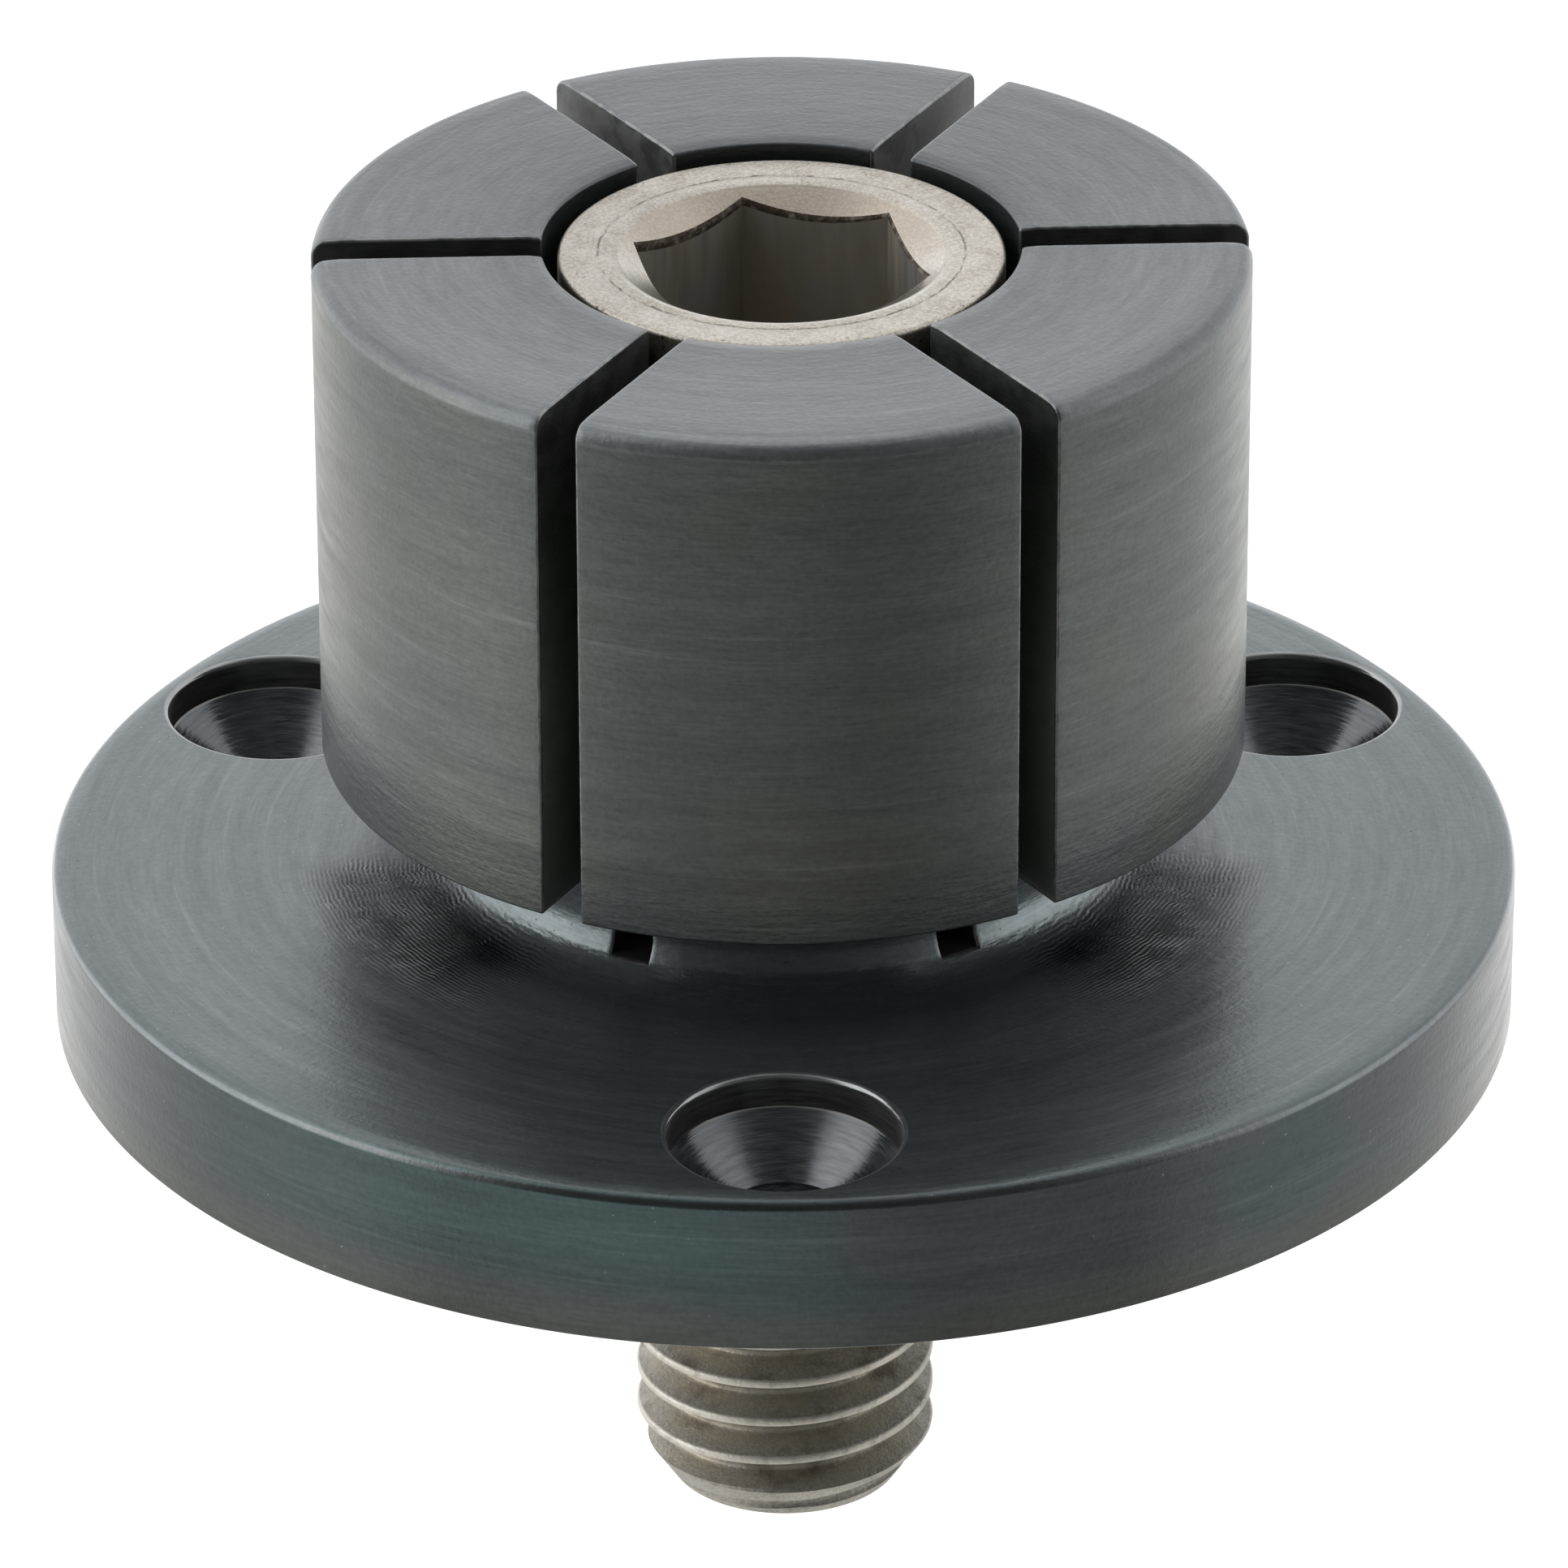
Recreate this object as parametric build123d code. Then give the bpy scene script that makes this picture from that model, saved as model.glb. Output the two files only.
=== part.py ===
from build123d import *
import math
import os

# Expanding mandrel: a slit steel body on a round flange, with a taper screw down its bore.
# Lengths are millimetres and angles are degrees.
# The axis is Z, the flange underside is z = 0, and the screw is entered from the top.

# Flange
flange_diameter = 57.2
flange_thickness = 6.3
flange_edge_chamfer = 0.45
flange_base_chamfer = 0.1

# Countersunk mounting holes in the flange
mounting_hole_count = 3
mounting_hole_start_angle = -90.0
mounting_hole_diameter = 4.5
counterbore_diameter = 8.8
counterbore_depth = 1.4
countersink_angle = 90.0
counterbore_lip = 0.25
rim_wall = 0.9

# Neck between the flange and the crown
neck_diameter = 24.6
neck_height = 5.0
neck_fillet = 2.0

# Crown, which expands in the workpiece
crown_diameter = 35.9
crown_height = 20.8
crown_edge_radius = 0.8
crown_mouth_chamfer = 0.15

# Slits that part the crown into segments
slit_count = 6
slit_width = 1.6
slit_start_angle = 2.2
slit_root_height = 0.8

# Taper screw, with its shank relieved between the taper and the thread
head_diameter = 17.1
head_length = 7.2
head_recess = 0.42
head_edge_chamfer = 0.2
taper_half_angle = 20.0
shank_diameter = 10.2
thread_diameter = 11.85
thread_length = 21.6
screw_reach = 21.6
tip_diameter = 9.3
tip_taper_length = 1.6

# Hexagon socket in the screw head
hex_across_flats = 10.0
hex_depth = 6.5
hex_start_angle = 45.0
hex_countersink_diameter = 12.8
hex_countersink_slope = 30.0
hex_drill_slope = 30.0
hex_drill_wall = 0.2

# Clearances
head_clearance = 0.6
thread_clearance = 0.6
seat_clearance = 0.05
bore_base_chamfer = 0.5

# Heights that follow from the sizes above
crown_base = flange_thickness + neck_height
crown_top = crown_base + crown_height
slit_floor = flange_thickness + slit_root_height
head_top = crown_top - head_recess
taper_top = head_top - head_length
taper_run = math.tan(math.radians(taper_half_angle))
taper_height = (head_diameter - shank_diameter) / 2 / taper_run
taper_base = taper_top - taper_height
tip = -screw_reach

# Radii that follow from the sizes above
flange_radius = flange_diameter / 2
head_bore_radius = head_diameter / 2 + head_clearance
thread_bore_radius = thread_diameter / 2 + thread_clearance
seat_offset = seat_clearance / math.cos(math.radians(taper_half_angle))
hole_circle_radius = flange_radius - rim_wall - counterbore_diameter / 2


def seat_height(radius):
    """Height at which the tapered seat in the bore has this radius."""
    return taper_base + (radius - seat_offset - shank_diameter / 2) / taper_run


def turned(corners):
    """Solid of revolution about Z from the corners (radius, height, corner rounding) of its half section."""
    outline = [(r, z) for r, z, _ in corners]
    roundings = [rounding for _, _, rounding in corners]
    section = Plane.XZ * make_face(FilletPolyline(outline, radius=roundings, close=True))
    return revolve(section, Axis.Z)


def body_blank():
    """Flange, neck and crown as they come off the lathe, bored through with the tapered seat."""
    return turned([
        (thread_bore_radius + bore_base_chamfer, 0, 0),
        (flange_radius - flange_base_chamfer, 0, 0),
        (flange_radius, flange_base_chamfer, 0),
        (flange_radius, flange_thickness - flange_edge_chamfer, 0),
        (flange_radius - flange_edge_chamfer, flange_thickness, 0),
        (neck_diameter / 2, flange_thickness, neck_fillet),
        (neck_diameter / 2, crown_base, 0),
        (crown_diameter / 2, crown_base, 0),
        (crown_diameter / 2, crown_top, crown_edge_radius),
        (head_bore_radius + crown_mouth_chamfer, crown_top, 0),
        (head_bore_radius, crown_top - crown_mouth_chamfer, 0),
        (head_bore_radius, seat_height(head_bore_radius), 0),
        (thread_bore_radius, seat_height(thread_bore_radius), 0),
        (thread_bore_radius, bore_base_chamfer, 0),
    ])


def mounting_hole():
    """Cutter for one through hole with its countersink and short counterbore."""
    hole = mounting_hole_diameter / 2
    rim = counterbore_diameter / 2
    cone_top = flange_thickness - counterbore_depth
    cone_height = (rim - hole) / math.tan(math.radians(countersink_angle / 2))
    return turned([
        (0, -1, 0),
        (hole, -1, 0),
        (hole, cone_top - cone_height, 0),
        (rim, cone_top, 0),
        (rim, flange_thickness - counterbore_lip, 0),
        (rim + counterbore_lip, flange_thickness, 0),
        (rim + counterbore_lip, flange_thickness + 1, 0),
        (0, flange_thickness + 1, 0),
    ])


def slit():
    """Cutter for one radial slit, from inside the bore to outside the crown."""
    depth = crown_top - slit_floor + 1
    length = crown_diameter / 2 + 1
    return Pos(0, 0, slit_floor) * Box(
        length, slit_width, depth, align=(Align.MIN, Align.CENTER, Align.MIN)
    )


def mandrel_body():
    """One-piece body: the turned blank, drilled for its screws and slit into segments."""
    body = body_blank()
    for i in range(mounting_hole_count):
        angle = mounting_hole_start_angle + i * 360 / mounting_hole_count
        body -= Rot(0, 0, angle) * Pos(hole_circle_radius, 0, 0) * mounting_hole()
    for i in range(slit_count):
        body -= Rot(0, 0, slit_start_angle + i * 360 / slit_count) * slit()
    return body


def screw_blank():
    """Screw outline: flat head, taper under the head, relieved shank, thread length and tip."""
    return turned([
        (0, tip, 0),
        (tip_diameter / 2, tip, 0),
        (thread_diameter / 2, tip + tip_taper_length, 0),
        (thread_diameter / 2, tip + thread_length, 0),
        (shank_diameter / 2, tip + thread_length, 0),
        (shank_diameter / 2, taper_base, 0),
        (head_diameter / 2, taper_top, 0),
        (head_diameter / 2, head_top - head_edge_chamfer, 0),
        (head_diameter / 2 - head_edge_chamfer, head_top, 0),
        (0, head_top, 0),
    ])


def hex_socket():
    """Cutter for the hexagon socket, with its drilled floor and the countersink at its mouth."""
    floor = head_top - hex_depth
    drill = hex_across_flats / 2 - hex_drill_wall
    drill_tip = floor - drill * math.tan(math.radians(hex_drill_slope))
    mouth = hex_countersink_diameter / 2
    mouth_tip = head_top - mouth * math.tan(math.radians(hex_countersink_slope))
    hexagon = Rot(0, 0, hex_start_angle) * RegularPolygon(
        hex_across_flats / 2, side_count=6, major_radius=False
    )
    prism = Pos(0, 0, floor) * extrude(hexagon, hex_depth + 1)
    drilled = turned([(0, drill_tip, 0), (drill, floor, 0), (0, floor, 0)])
    mouth_cone = turned([
        (0, mouth_tip, 0),
        (mouth, head_top, 0),
        (mouth, head_top + 1, 0),
        (0, head_top + 1, 0),
    ])
    return prism + drilled + mouth_cone


def clamping_screw():
    """Taper screw that is driven by a hexagon key and pulls its taper into the crown."""
    return screw_blank() - hex_socket()


os.makedirs("parts", exist_ok=True)
export_step(mandrel_body(), "parts/mandrel_body.step")
export_step(clamping_screw(), "parts/clamping_screw.step")
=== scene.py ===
from math import asin, cos, pi, radians, sin, sqrt, tan

import bmesh
import bpy
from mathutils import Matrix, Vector


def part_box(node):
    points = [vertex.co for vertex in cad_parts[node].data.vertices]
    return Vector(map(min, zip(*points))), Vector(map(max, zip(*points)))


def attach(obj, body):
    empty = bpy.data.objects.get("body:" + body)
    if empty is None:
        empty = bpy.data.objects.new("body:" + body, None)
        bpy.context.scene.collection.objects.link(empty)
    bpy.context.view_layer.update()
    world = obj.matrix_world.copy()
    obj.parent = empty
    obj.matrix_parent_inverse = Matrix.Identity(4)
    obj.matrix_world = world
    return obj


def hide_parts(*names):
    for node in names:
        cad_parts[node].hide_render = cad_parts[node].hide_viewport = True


# An expanding mandrel on a white ground: a slit steel body on a round flange, with a taper screw
# down its bore.
# Metres throughout. The axis is Z, the flange underside is z = 0 and the camera looks along +Y.
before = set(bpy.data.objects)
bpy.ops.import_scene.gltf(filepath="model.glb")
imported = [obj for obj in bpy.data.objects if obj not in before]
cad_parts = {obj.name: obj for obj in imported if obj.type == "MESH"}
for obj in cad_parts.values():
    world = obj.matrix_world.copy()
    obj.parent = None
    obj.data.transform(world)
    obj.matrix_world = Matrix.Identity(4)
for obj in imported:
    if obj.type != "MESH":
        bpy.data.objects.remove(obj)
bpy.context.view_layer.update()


# MANDREL BODY
# One piece of steel, turned from bar, bored through and blackened. The crown is sawn into six
# segments, the saw stops just above the flange, and the flange has three countersunk screw holes.
mm = 0.001
flange_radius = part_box("mandrel_body")[1].x
flange_top = 6.3 * mm
crown_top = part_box("mandrel_body")[1].z
crown_base = 11.3 * mm
crown_radius = 17.95 * mm
neck_radius = 12.3 * mm
neck_fillet = 2.0 * mm
head_bore_radius = 9.15 * mm
thread_bore_radius = 6.525 * mm
seat_top = 25.98 * mm
seat_base = 18.77 * mm
slit_width = 1.6 * mm
slit_floor = 7.1 * mm
slit_count = 6
slit_start = radians(2.2)
columns_per_segment = 46
burr_rounding = 0.11 * mm


def eased_edge(start, edge, top, slope, rounding, steps=6):
    """Corners of a flat face that tumbling has eased down, from a radius to its rounded edge."""
    width = edge - start
    reach = width - rounding * (1 if edge > start else -1)
    eased = [
        (start + reach * i / steps, top - slope * abs(reach) * (i / steps) ** 2 / 2, 0)
        for i in range(steps + 1)
    ]
    return eased + [(edge, top - slope * abs(width - reach / 2), rounding)]


# half section, each corner as radius, height, rounding
body_corners = [
    (thread_bore_radius, slit_floor, 0),
    (thread_bore_radius, 0.5 * mm, 0),
    (thread_bore_radius + 0.5 * mm, 0, 0),
    (flange_radius, 0, 0.05 * mm),
    *eased_edge(27.75 * mm, flange_radius, flange_top, 0.22, 0.42 * mm)[::-1],
    (neck_radius, flange_top, neck_fillet),
    (neck_radius, crown_base, 0.3 * mm),
    (crown_radius, crown_base, 0.12 * mm),
    *eased_edge(16.6 * mm, crown_radius, crown_top, 0.1, 0.62 * mm)[::-1],
    *eased_edge(10.0 * mm, head_bore_radius, crown_top, 0.15, 0.13 * mm),
    (head_bore_radius, seat_top, 0),
    (thread_bore_radius, seat_base, 0),
]
# radius of the neck's fillet at the level of the saw's floor
neck_at_slit_floor = neck_radius + neck_fillet - sqrt(
    neck_fillet ** 2 - (flange_top + neck_fillet - slit_floor) ** 2
)


def corner_arc(before, corner, after, rounding, steps):
    """Points that round one corner of a half section."""
    corner = Vector(corner)
    back = (Vector(before) - corner).normalized()
    ahead = (Vector(after) - corner).normalized()
    half = back.angle(ahead) / 2
    centre = corner + (back + ahead).normalized() * rounding / sin(half)
    start = corner + back * rounding / tan(half) - centre
    end = corner + ahead * rounding / tan(half) - centre
    return [centre + rounding * start.slerp(end, i / steps) for i in range(steps + 1)]


def half_section(corners, steps=8):
    """Outline of a turned piece as (radius, height) points, with its corners rounded."""
    points = []
    for i, (r, z, rounding) in enumerate(corners):
        if rounding:
            before, after = corners[i - 1][:2], corners[(i + 1) % len(corners)][:2]
            points += corner_arc(before, (r, z), after, rounding, steps)
        else:
            points.append(Vector((r, z)))
    return points


def split_at(points, level, radius):
    """The same outline with one more point where it crosses a height near the given radius."""
    for i in range(len(points) - 1):
        low, high = points[i], points[i + 1]
        crosses = (low.y - level) * (high.y - level) < 0
        if crosses and abs(low.x - radius) < mm:
            share = (level - low.y) / (high.y - low.y)
            return points[:i + 1] + [low.lerp(high, share)] + points[i + 1:], i + 1
    raise ValueError("the outline doesn't cross that height there")


def crown_body():
    """The slit body as one closed mesh: turned faces in material 0, sawn faces in material 1."""
    outline, neck_index = split_at(half_section(body_corners), slit_floor, neck_at_slit_floor)
    mesh = bmesh.new()
    # the turned outline is laid out in columns round the axis, segment by segment
    columns = []
    for k in range(slit_count):
        start, end = (slit_start + i * 2 * pi / slit_count for i in (k, k + 1))
        segment = []
        for j in range(columns_per_segment + 1):
            share = j / columns_per_segment
            column = []
            for r, z in outline:
                edge = asin(slit_width / 2 / r)
                angle = start + edge + share * (end - start - 2 * edge)
                column.append(mesh.verts.new((r * cos(angle), r * sin(angle), z)))
            segment.append(column)
        columns.append(segment)
    # each segment gets its turned faces and a sawn wall at both ends, and below the saw's floor the
    # neck and the flange run on to the next segment
    for k, segment in enumerate(columns):
        for left, right in zip(segment, segment[1:]):
            for i in range(len(outline)):
                after = (i + 1) % len(outline)
                mesh.faces.new((left[i], left[after], right[after], right[i]))
        for wall in (segment[0], segment[-1]):
            mesh.faces.new(wall[neck_index:] + wall[:1]).material_index = 1
        angle = slit_start + (k + 1) * 2 * pi / slit_count
        left, right = segment[-1], columns[(k + 1) % slit_count][0]
        middle = [
            mesh.verts.new((r * cos(angle), r * sin(angle), z)) for r, z in outline[:neck_index + 1]
        ]
        for a, b in ((left, middle), (middle, right)):
            for i in range(neck_index):
                mesh.faces.new((a[i], a[i + 1], b[i + 1], b[i]))
            mesh.faces.new((a[0], b[0], b[neck_index], a[neck_index])).material_index = 1
    bmesh.ops.recalc_face_normals(mesh, faces=mesh.faces)
    return mesh


def revolved(mesh, outline, centre, turns, material):
    """Adds a closed solid of revolution to a mesh; the outline starts and ends on the axis."""
    ends = [mesh.verts.new((centre.x, centre.y, outline[i][1])) for i in (0, -1)]
    rings = []
    for r, z in outline[1:-1]:
        rings.append([
            mesh.verts.new((centre.x + r * cos(a), centre.y + r * sin(a), z))
            for a in (2 * pi * j / turns for j in range(turns))
        ])
    for j in range(turns):
        after = (j + 1) % turns
        mesh.faces.new((ends[0], rings[0][after], rings[0][j])).material_index = material
        mesh.faces.new((ends[1], rings[-1][j], rings[-1][after])).material_index = material
        for low, high in zip(rings, rings[1:]):
            mesh.faces.new((low[j], low[after], high[after], high[j])).material_index = material


# countersunk holes for the three flange screws, each with a short straight counterbore above its cone
hole_count = 3
hole_start = radians(-90)
hole_circle = 23.3 * mm
hole_radius = 2.25 * mm
rim_radius = 4.4 * mm
rim_rounding = 0.22 * mm
cone_top = flange_top - 1.4 * mm
cone_radius = 4.32 * mm
hole_turns = 96
overshoot = 1.0 * mm


def hole_outline():
    """Half section of the drill that cuts one hole."""
    outline = half_section([
        (0, -overshoot, 0),
        (hole_radius, -overshoot, 0),
        (hole_radius, cone_top - (cone_radius - hole_radius), 0.1 * mm),
        (cone_radius, cone_top, 0),
        (rim_radius, cone_top + 0.05 * mm, 0),
    ], steps=4)
    for i in range(7):
        turn = radians(15 * i)
        outline.append(Vector((
            rim_radius + rim_rounding * (1 - cos(turn)),
            flange_top - rim_rounding * (1 - sin(turn)),
        )))
    outline.append(Vector((rim_radius + rim_rounding, flange_top + overshoot)))
    outline.append(Vector((0, flange_top + overshoot)))
    return outline


def to_object(mesh, name, *materials):
    """Makes a linked object of a bmesh, with its materials in slot order."""
    data = bpy.data.meshes.new(name)
    mesh.to_mesh(data)
    mesh.free()
    for material in materials:
        data.materials.append(material)
    piece = bpy.data.objects.new(name, data)
    bpy.context.scene.collection.objects.link(piece)
    return piece


def settle(piece):
    """Replaces an object's mesh by the result of its modifiers."""
    evaluated = piece.evaluated_get(bpy.context.evaluated_depsgraph_get())
    result = bpy.data.meshes.new_from_object(evaluated)
    piece.modifiers.clear()
    piece.data = result


def drilled(piece):
    """Cuts the screw holes into the flange; their faces are material 2."""
    cutters = bmesh.new()
    for i in range(hole_count):
        angle = hole_start + 2 * pi * i / hole_count
        centre = Vector((hole_circle * cos(angle), hole_circle * sin(angle)))
        revolved(cutters, hole_outline(), centre, hole_turns, 2)
    drill = to_object(cutters, "drill")
    cut = piece.modifiers.new("drill", "BOOLEAN")
    cut.object = drill
    cut.solver = "EXACT"
    settle(piece)
    bpy.data.objects.remove(drill)


def deburred(piece):
    """Rounds the edges that the saw left, as tumbling does."""
    mesh = bmesh.new()
    mesh.from_mesh(piece.data)
    weight = mesh.edges.layers.float.new("bevel_weight_edge")
    for edge in mesh.edges:
        kinds = {face.material_index for face in edge.link_faces}
        edge[weight] = 1.0 if kinds == {0, 1} else 0.0
    mesh.to_mesh(piece.data)
    mesh.free()
    rounding = piece.modifiers.new("deburr", "BEVEL")
    rounding.limit_method = "WEIGHT"
    rounding.width = burr_rounding
    rounding.segments = 3
    rounding.material = 3
    rounding.use_clamp_overlap = False
    settle(piece)


def smoothed(piece, sharp_angle):
    """Shades an object smooth between its sharp edges."""
    piece.data.shade_smooth()
    piece.data.set_sharp_from_angle(angle=sharp_angle)
    weighting = piece.modifiers.new("weighting", "WEIGHTED_NORMAL")
    weighting.keep_sharp = True
    weighting.weight = 100


def shader_node(tree, kind, sockets=None, **options):
    """Adds a node, sets its options, and fills its sockets with values or with links."""
    node = tree.nodes.new(kind)
    for name, value in options.items():
        setattr(node, name, value)
    for name, value in (sockets or {}).items():
        if isinstance(value, bpy.types.NodeSocket):
            tree.links.new(value, node.inputs[name])
        else:
            node.inputs[name].default_value = value
    return node


def calculate(tree, operation, a, b=0.0):
    """One step of arithmetic on shader values."""
    return shader_node(tree, "ShaderNodeMath", {0: a, 1: b}, operation=operation).outputs[0]


def remap(tree, value, low, high, to_low, to_high, blend="LINEAR"):
    """Spreads one range of a shader value over another."""
    return shader_node(tree, "ShaderNodeMapRange", {
        "Value": value, "From Min": low, "From Max": high, "To Min": to_low, "To Max": to_high,
    }, interpolation_type=blend).outputs[0]


def mixed(tree, share, low, high):
    """Blends two shader values."""
    sockets = {0: share, 2: low, 3: high}
    return shader_node(tree, "ShaderNodeMix", sockets, data_type="FLOAT").outputs[0]


def tinted(tree, share, low, high):
    """Blends two colours, each given as red, green and blue or taken from another node."""
    low, high = (
        colour if isinstance(colour, bpy.types.NodeSocket) else (*colour, 1) for colour in (low, high)
    )
    sockets = {0: share, 6: low, 7: high}
    return shader_node(tree, "ShaderNodeMix", sockets, data_type="RGBA").outputs[2]


def polar(tree, x, y, z):
    """A place given as (radius, height, cosine, sine of its bearing)."""
    squares = [calculate(tree, "MULTIPLY", side, side) for side in (x, y)]
    radius = calculate(tree, "SQRT", calculate(tree, "ADD", *squares))
    return radius, z, calculate(tree, "DIVIDE", x, radius), calculate(tree, "DIVIDE", y, radius)


def lathe_place(tree):
    """Where each point lies round the axis of a turned piece."""
    place = shader_node(tree, "ShaderNodeTexCoord").outputs["Object"]
    return polar(tree, *shader_node(tree, "ShaderNodeSeparateXYZ", {0: place}).outputs)


def tool_marks(tree, place, fineness, turn, detail=2.0):
    """Noise drawn out round the axis, as a lathe tool leaves it: fineness across, turn along."""
    radius, height, cosine, sine = place
    point = shader_node(tree, "ShaderNodeCombineXYZ", {
        0: calculate(tree, "MULTIPLY", radius, fineness),
        1: calculate(tree, "MULTIPLY", height, fineness),
        2: calculate(tree, "MULTIPLY", cosine, turn),
    }).outputs[0]
    return shader_node(tree, "ShaderNodeTexNoise", {
        "Vector": point,
        "W": calculate(tree, "MULTIPLY", sine, turn),
        "Scale": 1.0,
        "Detail": detail,
        "Roughness": 0.6,
    }, noise_dimensions="4D").outputs["Fac"]


def cloud(tree, scale, detail=3.0):
    """Plain noise through the piece, in patches of about 1/scale metres."""
    place = shader_node(tree, "ShaderNodeTexCoord").outputs["Object"]
    return shader_node(tree, "ShaderNodeTexNoise", {
        "Vector": place, "Scale": scale, "Detail": detail, "Roughness": 0.55,
    }).outputs["Fac"]


def specks(tree, spacing, size):
    """Sparse specks, 1 inside a speck and 0 elsewhere."""
    place = shader_node(tree, "ShaderNodeTexCoord").outputs["Object"]
    cells = shader_node(tree, "ShaderNodeTexVoronoi", {"Vector": place, "Scale": 1 / spacing})
    return remap(tree, cells.outputs["Distance"], size / spacing, 0.6 * size / spacing, 0, 1)


def raised(tree, height, depth, below=None):
    """Relief of a given depth, laid over another relief if one is given."""
    sockets = {"Height": height, "Distance": depth, "Strength": 1.0}
    if below:
        sockets["Normal"] = below
    return shader_node(tree, "ShaderNodeBump", sockets).outputs[0]


def new_material(name):
    """An empty node material with its surface shader, as (material, tree, shader)."""
    material = bpy.data.materials.new(name)
    material.use_nodes = True
    tree = material.node_tree
    return material, tree, tree.nodes["Principled BSDF"]


def feed(tree, shader, **links):
    """Links shader values to the surface shader's sockets, named with underscores for spaces."""
    for name, value in links.items():
        tree.links.new(value, shader.inputs[name.replace("_", " ")])


# black oxide over steel reflects like a very dark metal; its tint changes from face to face
crown_oxide = (0.0756, 0.0825, 0.0838)
side_oxide = (0.0825, 0.0905, 0.0888)
flange_oxide = (0.0715, 0.0840, 0.0858)
rim_oxide = (0.0711, 0.0825, 0.0860)
olive_bloom = (0.0940, 0.0940, 0.0815)
teal_bloom = (0.0610, 0.0830, 0.0900)
teal_patch = (0.0650, 0.0990, 0.1010)
plum_bloom = (0.0740, 0.0800, 0.0850)
dust = (0.2400, 0.2400, 0.2300)
pit_black = (0.0300, 0.0320, 0.0310)
# the slits' walls, their worn edges, and the three faces of a screw hole
saw_black = (0.029, 0.033, 0.029)
saw_grey = (0.120, 0.126, 0.118)
worn_oxide = (0.085, 0.091, 0.090)
bare_steel = (0.150, 0.155, 0.148)
cone_steel = (0.063, 0.069, 0.072)
wall_steel = (0.088, 0.090, 0.084)
lip_steel = (0.165, 0.170, 0.168)
oxide_metalness = 0.72
chatter_pitch = 0.19 * mm


def product(tree, *factors):
    """Several shader values multiplied together."""
    result = factors[0]
    for factor in factors[1:]:
        result = calculate(tree, "MULTIPLY", result, factor)
    return result


def shaded(tree, colour, factor):
    """A colour made lighter or darker."""
    sockets = {0: colour, "Scale": factor}
    return shader_node(tree, "ShaderNodeVectorMath", sockets, operation="SCALE").outputs[0]


def chatter_and_painted_reflection_zone(tree, place):
    """Chatter and a painted reflection of the crown at the neck's front left and right: 1 there, 0
    elsewhere.
    """
    radius, height, cosine, sine = place
    sideways = calculate(tree, "ABSOLUTE", cosine)
    return product(
        tree,
        remap(tree, radius, 12.5 * mm, 14.5 * mm, 0, 1, "SMOOTHSTEP"),
        remap(tree, radius, 17.0 * mm, 19.6 * mm, 1, 0, "SMOOTHSTEP"),
        remap(tree, height, flange_top + 1.0 * mm, flange_top + 1.2 * mm, 1, 0),
        remap(tree, sideways, 0.6, 0.8, 0, 1, "SMOOTHSTEP"),
        remap(tree, sine, -0.05, -0.2, 0, 1, "SMOOTHSTEP"),
    )


def chatter(tree, place, zone):
    """Wavy feed marks of the tool inside the given zone."""
    radius = place[0]
    wander = calculate(tree, "MULTIPLY", tool_marks(tree, place, 700, 20), 2.0)
    turns = calculate(tree, "ADD", calculate(tree, "DIVIDE", radius, chatter_pitch), wander)
    wave = calculate(tree, "SINE", calculate(tree, "MULTIPLY", turns, 2 * pi))
    return product(tree, wave, zone, remap(tree, cloud(tree, 900), 0.35, 0.6, 0.3, 1.0))


def body_zones(tree, place):
    """The body's faces and edges by name, each as a mask: 1 there and 0 elsewhere."""
    radius, height = place[:2]
    flange = remap(tree, height, 8.5 * mm, 9.5 * mm, 1, 0)
    return {
        "flange": flange,
        "side": remap(tree, radius, crown_radius - 0.2 * mm, crown_radius - 0.05 * mm, 0, 1),
        "rim": remap(tree, radius, flange_radius - 0.25 * mm, flange_radius - 0.1 * mm, 0, 1),
        "neck": product(
            tree, remap(tree, height, flange_top + 0.1 * mm, flange_top + 0.5 * mm, 0, 1),
            remap(tree, radius, neck_radius + 2.2 * mm, neck_radius + 1.2 * mm, 0, 1), flange,
        ),
        "crown edge": product(
            tree, remap(tree, radius, crown_radius - 0.85 * mm, crown_radius - 0.4 * mm, 0, 1),
            remap(tree, height, crown_top - 0.8 * mm, crown_top - 0.5 * mm, 0, 1),
        ),
        "flange edge": product(
            tree, remap(tree, radius, flange_radius - 0.4 * mm, flange_radius - 0.3 * mm, 0, 1),
            remap(tree, height, flange_top - 0.44 * mm, flange_top - 0.34 * mm, 0, 1),
            remap(tree, height, flange_top - 0.16 * mm, flange_top - 0.24 * mm, 0, 1),
        ),
        "chatter and painted reflection": chatter_and_painted_reflection_zone(tree, place),
    }


def rim_tint_and_painted_shade(tree, place):
    """The flange's rim: a cloudy bloom, teal at its front left, olive below, with painted shade off
    the front.
    """
    height, cosine, sine = place[1:]
    bloom = tinted(tree, remap(tree, cloud(tree, 90, 2), 0.45, 0.6, 0, 1), teal_bloom, plum_bloom)
    rim = tinted(tree, remap(tree, cloud(tree, 60, 2), 0.4, 0.6, 0.3, 1), rim_oxide, bloom)
    in_patch = product(
        tree, remap(tree, cosine, 0.12, -0.08, 0, 0.9), remap(tree, cosine, -0.8, -0.5, 0, 1),
        remap(tree, height, 1.8 * mm, 3.4 * mm, 0, 1),
    )
    rim = tinted(tree, in_patch, rim, teal_patch)
    rim = tinted(tree, remap(tree, height, 2.4 * mm, 0.5 * mm, 0, 0.6), rim, olive_bloom)
    # painted shade: the rim is painted darker everywhere but at its front
    return shaded(tree, rim, remap(tree, sine, -0.88, -0.99, 0.62, 1.0, "SMOOTHSTEP"))


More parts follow.
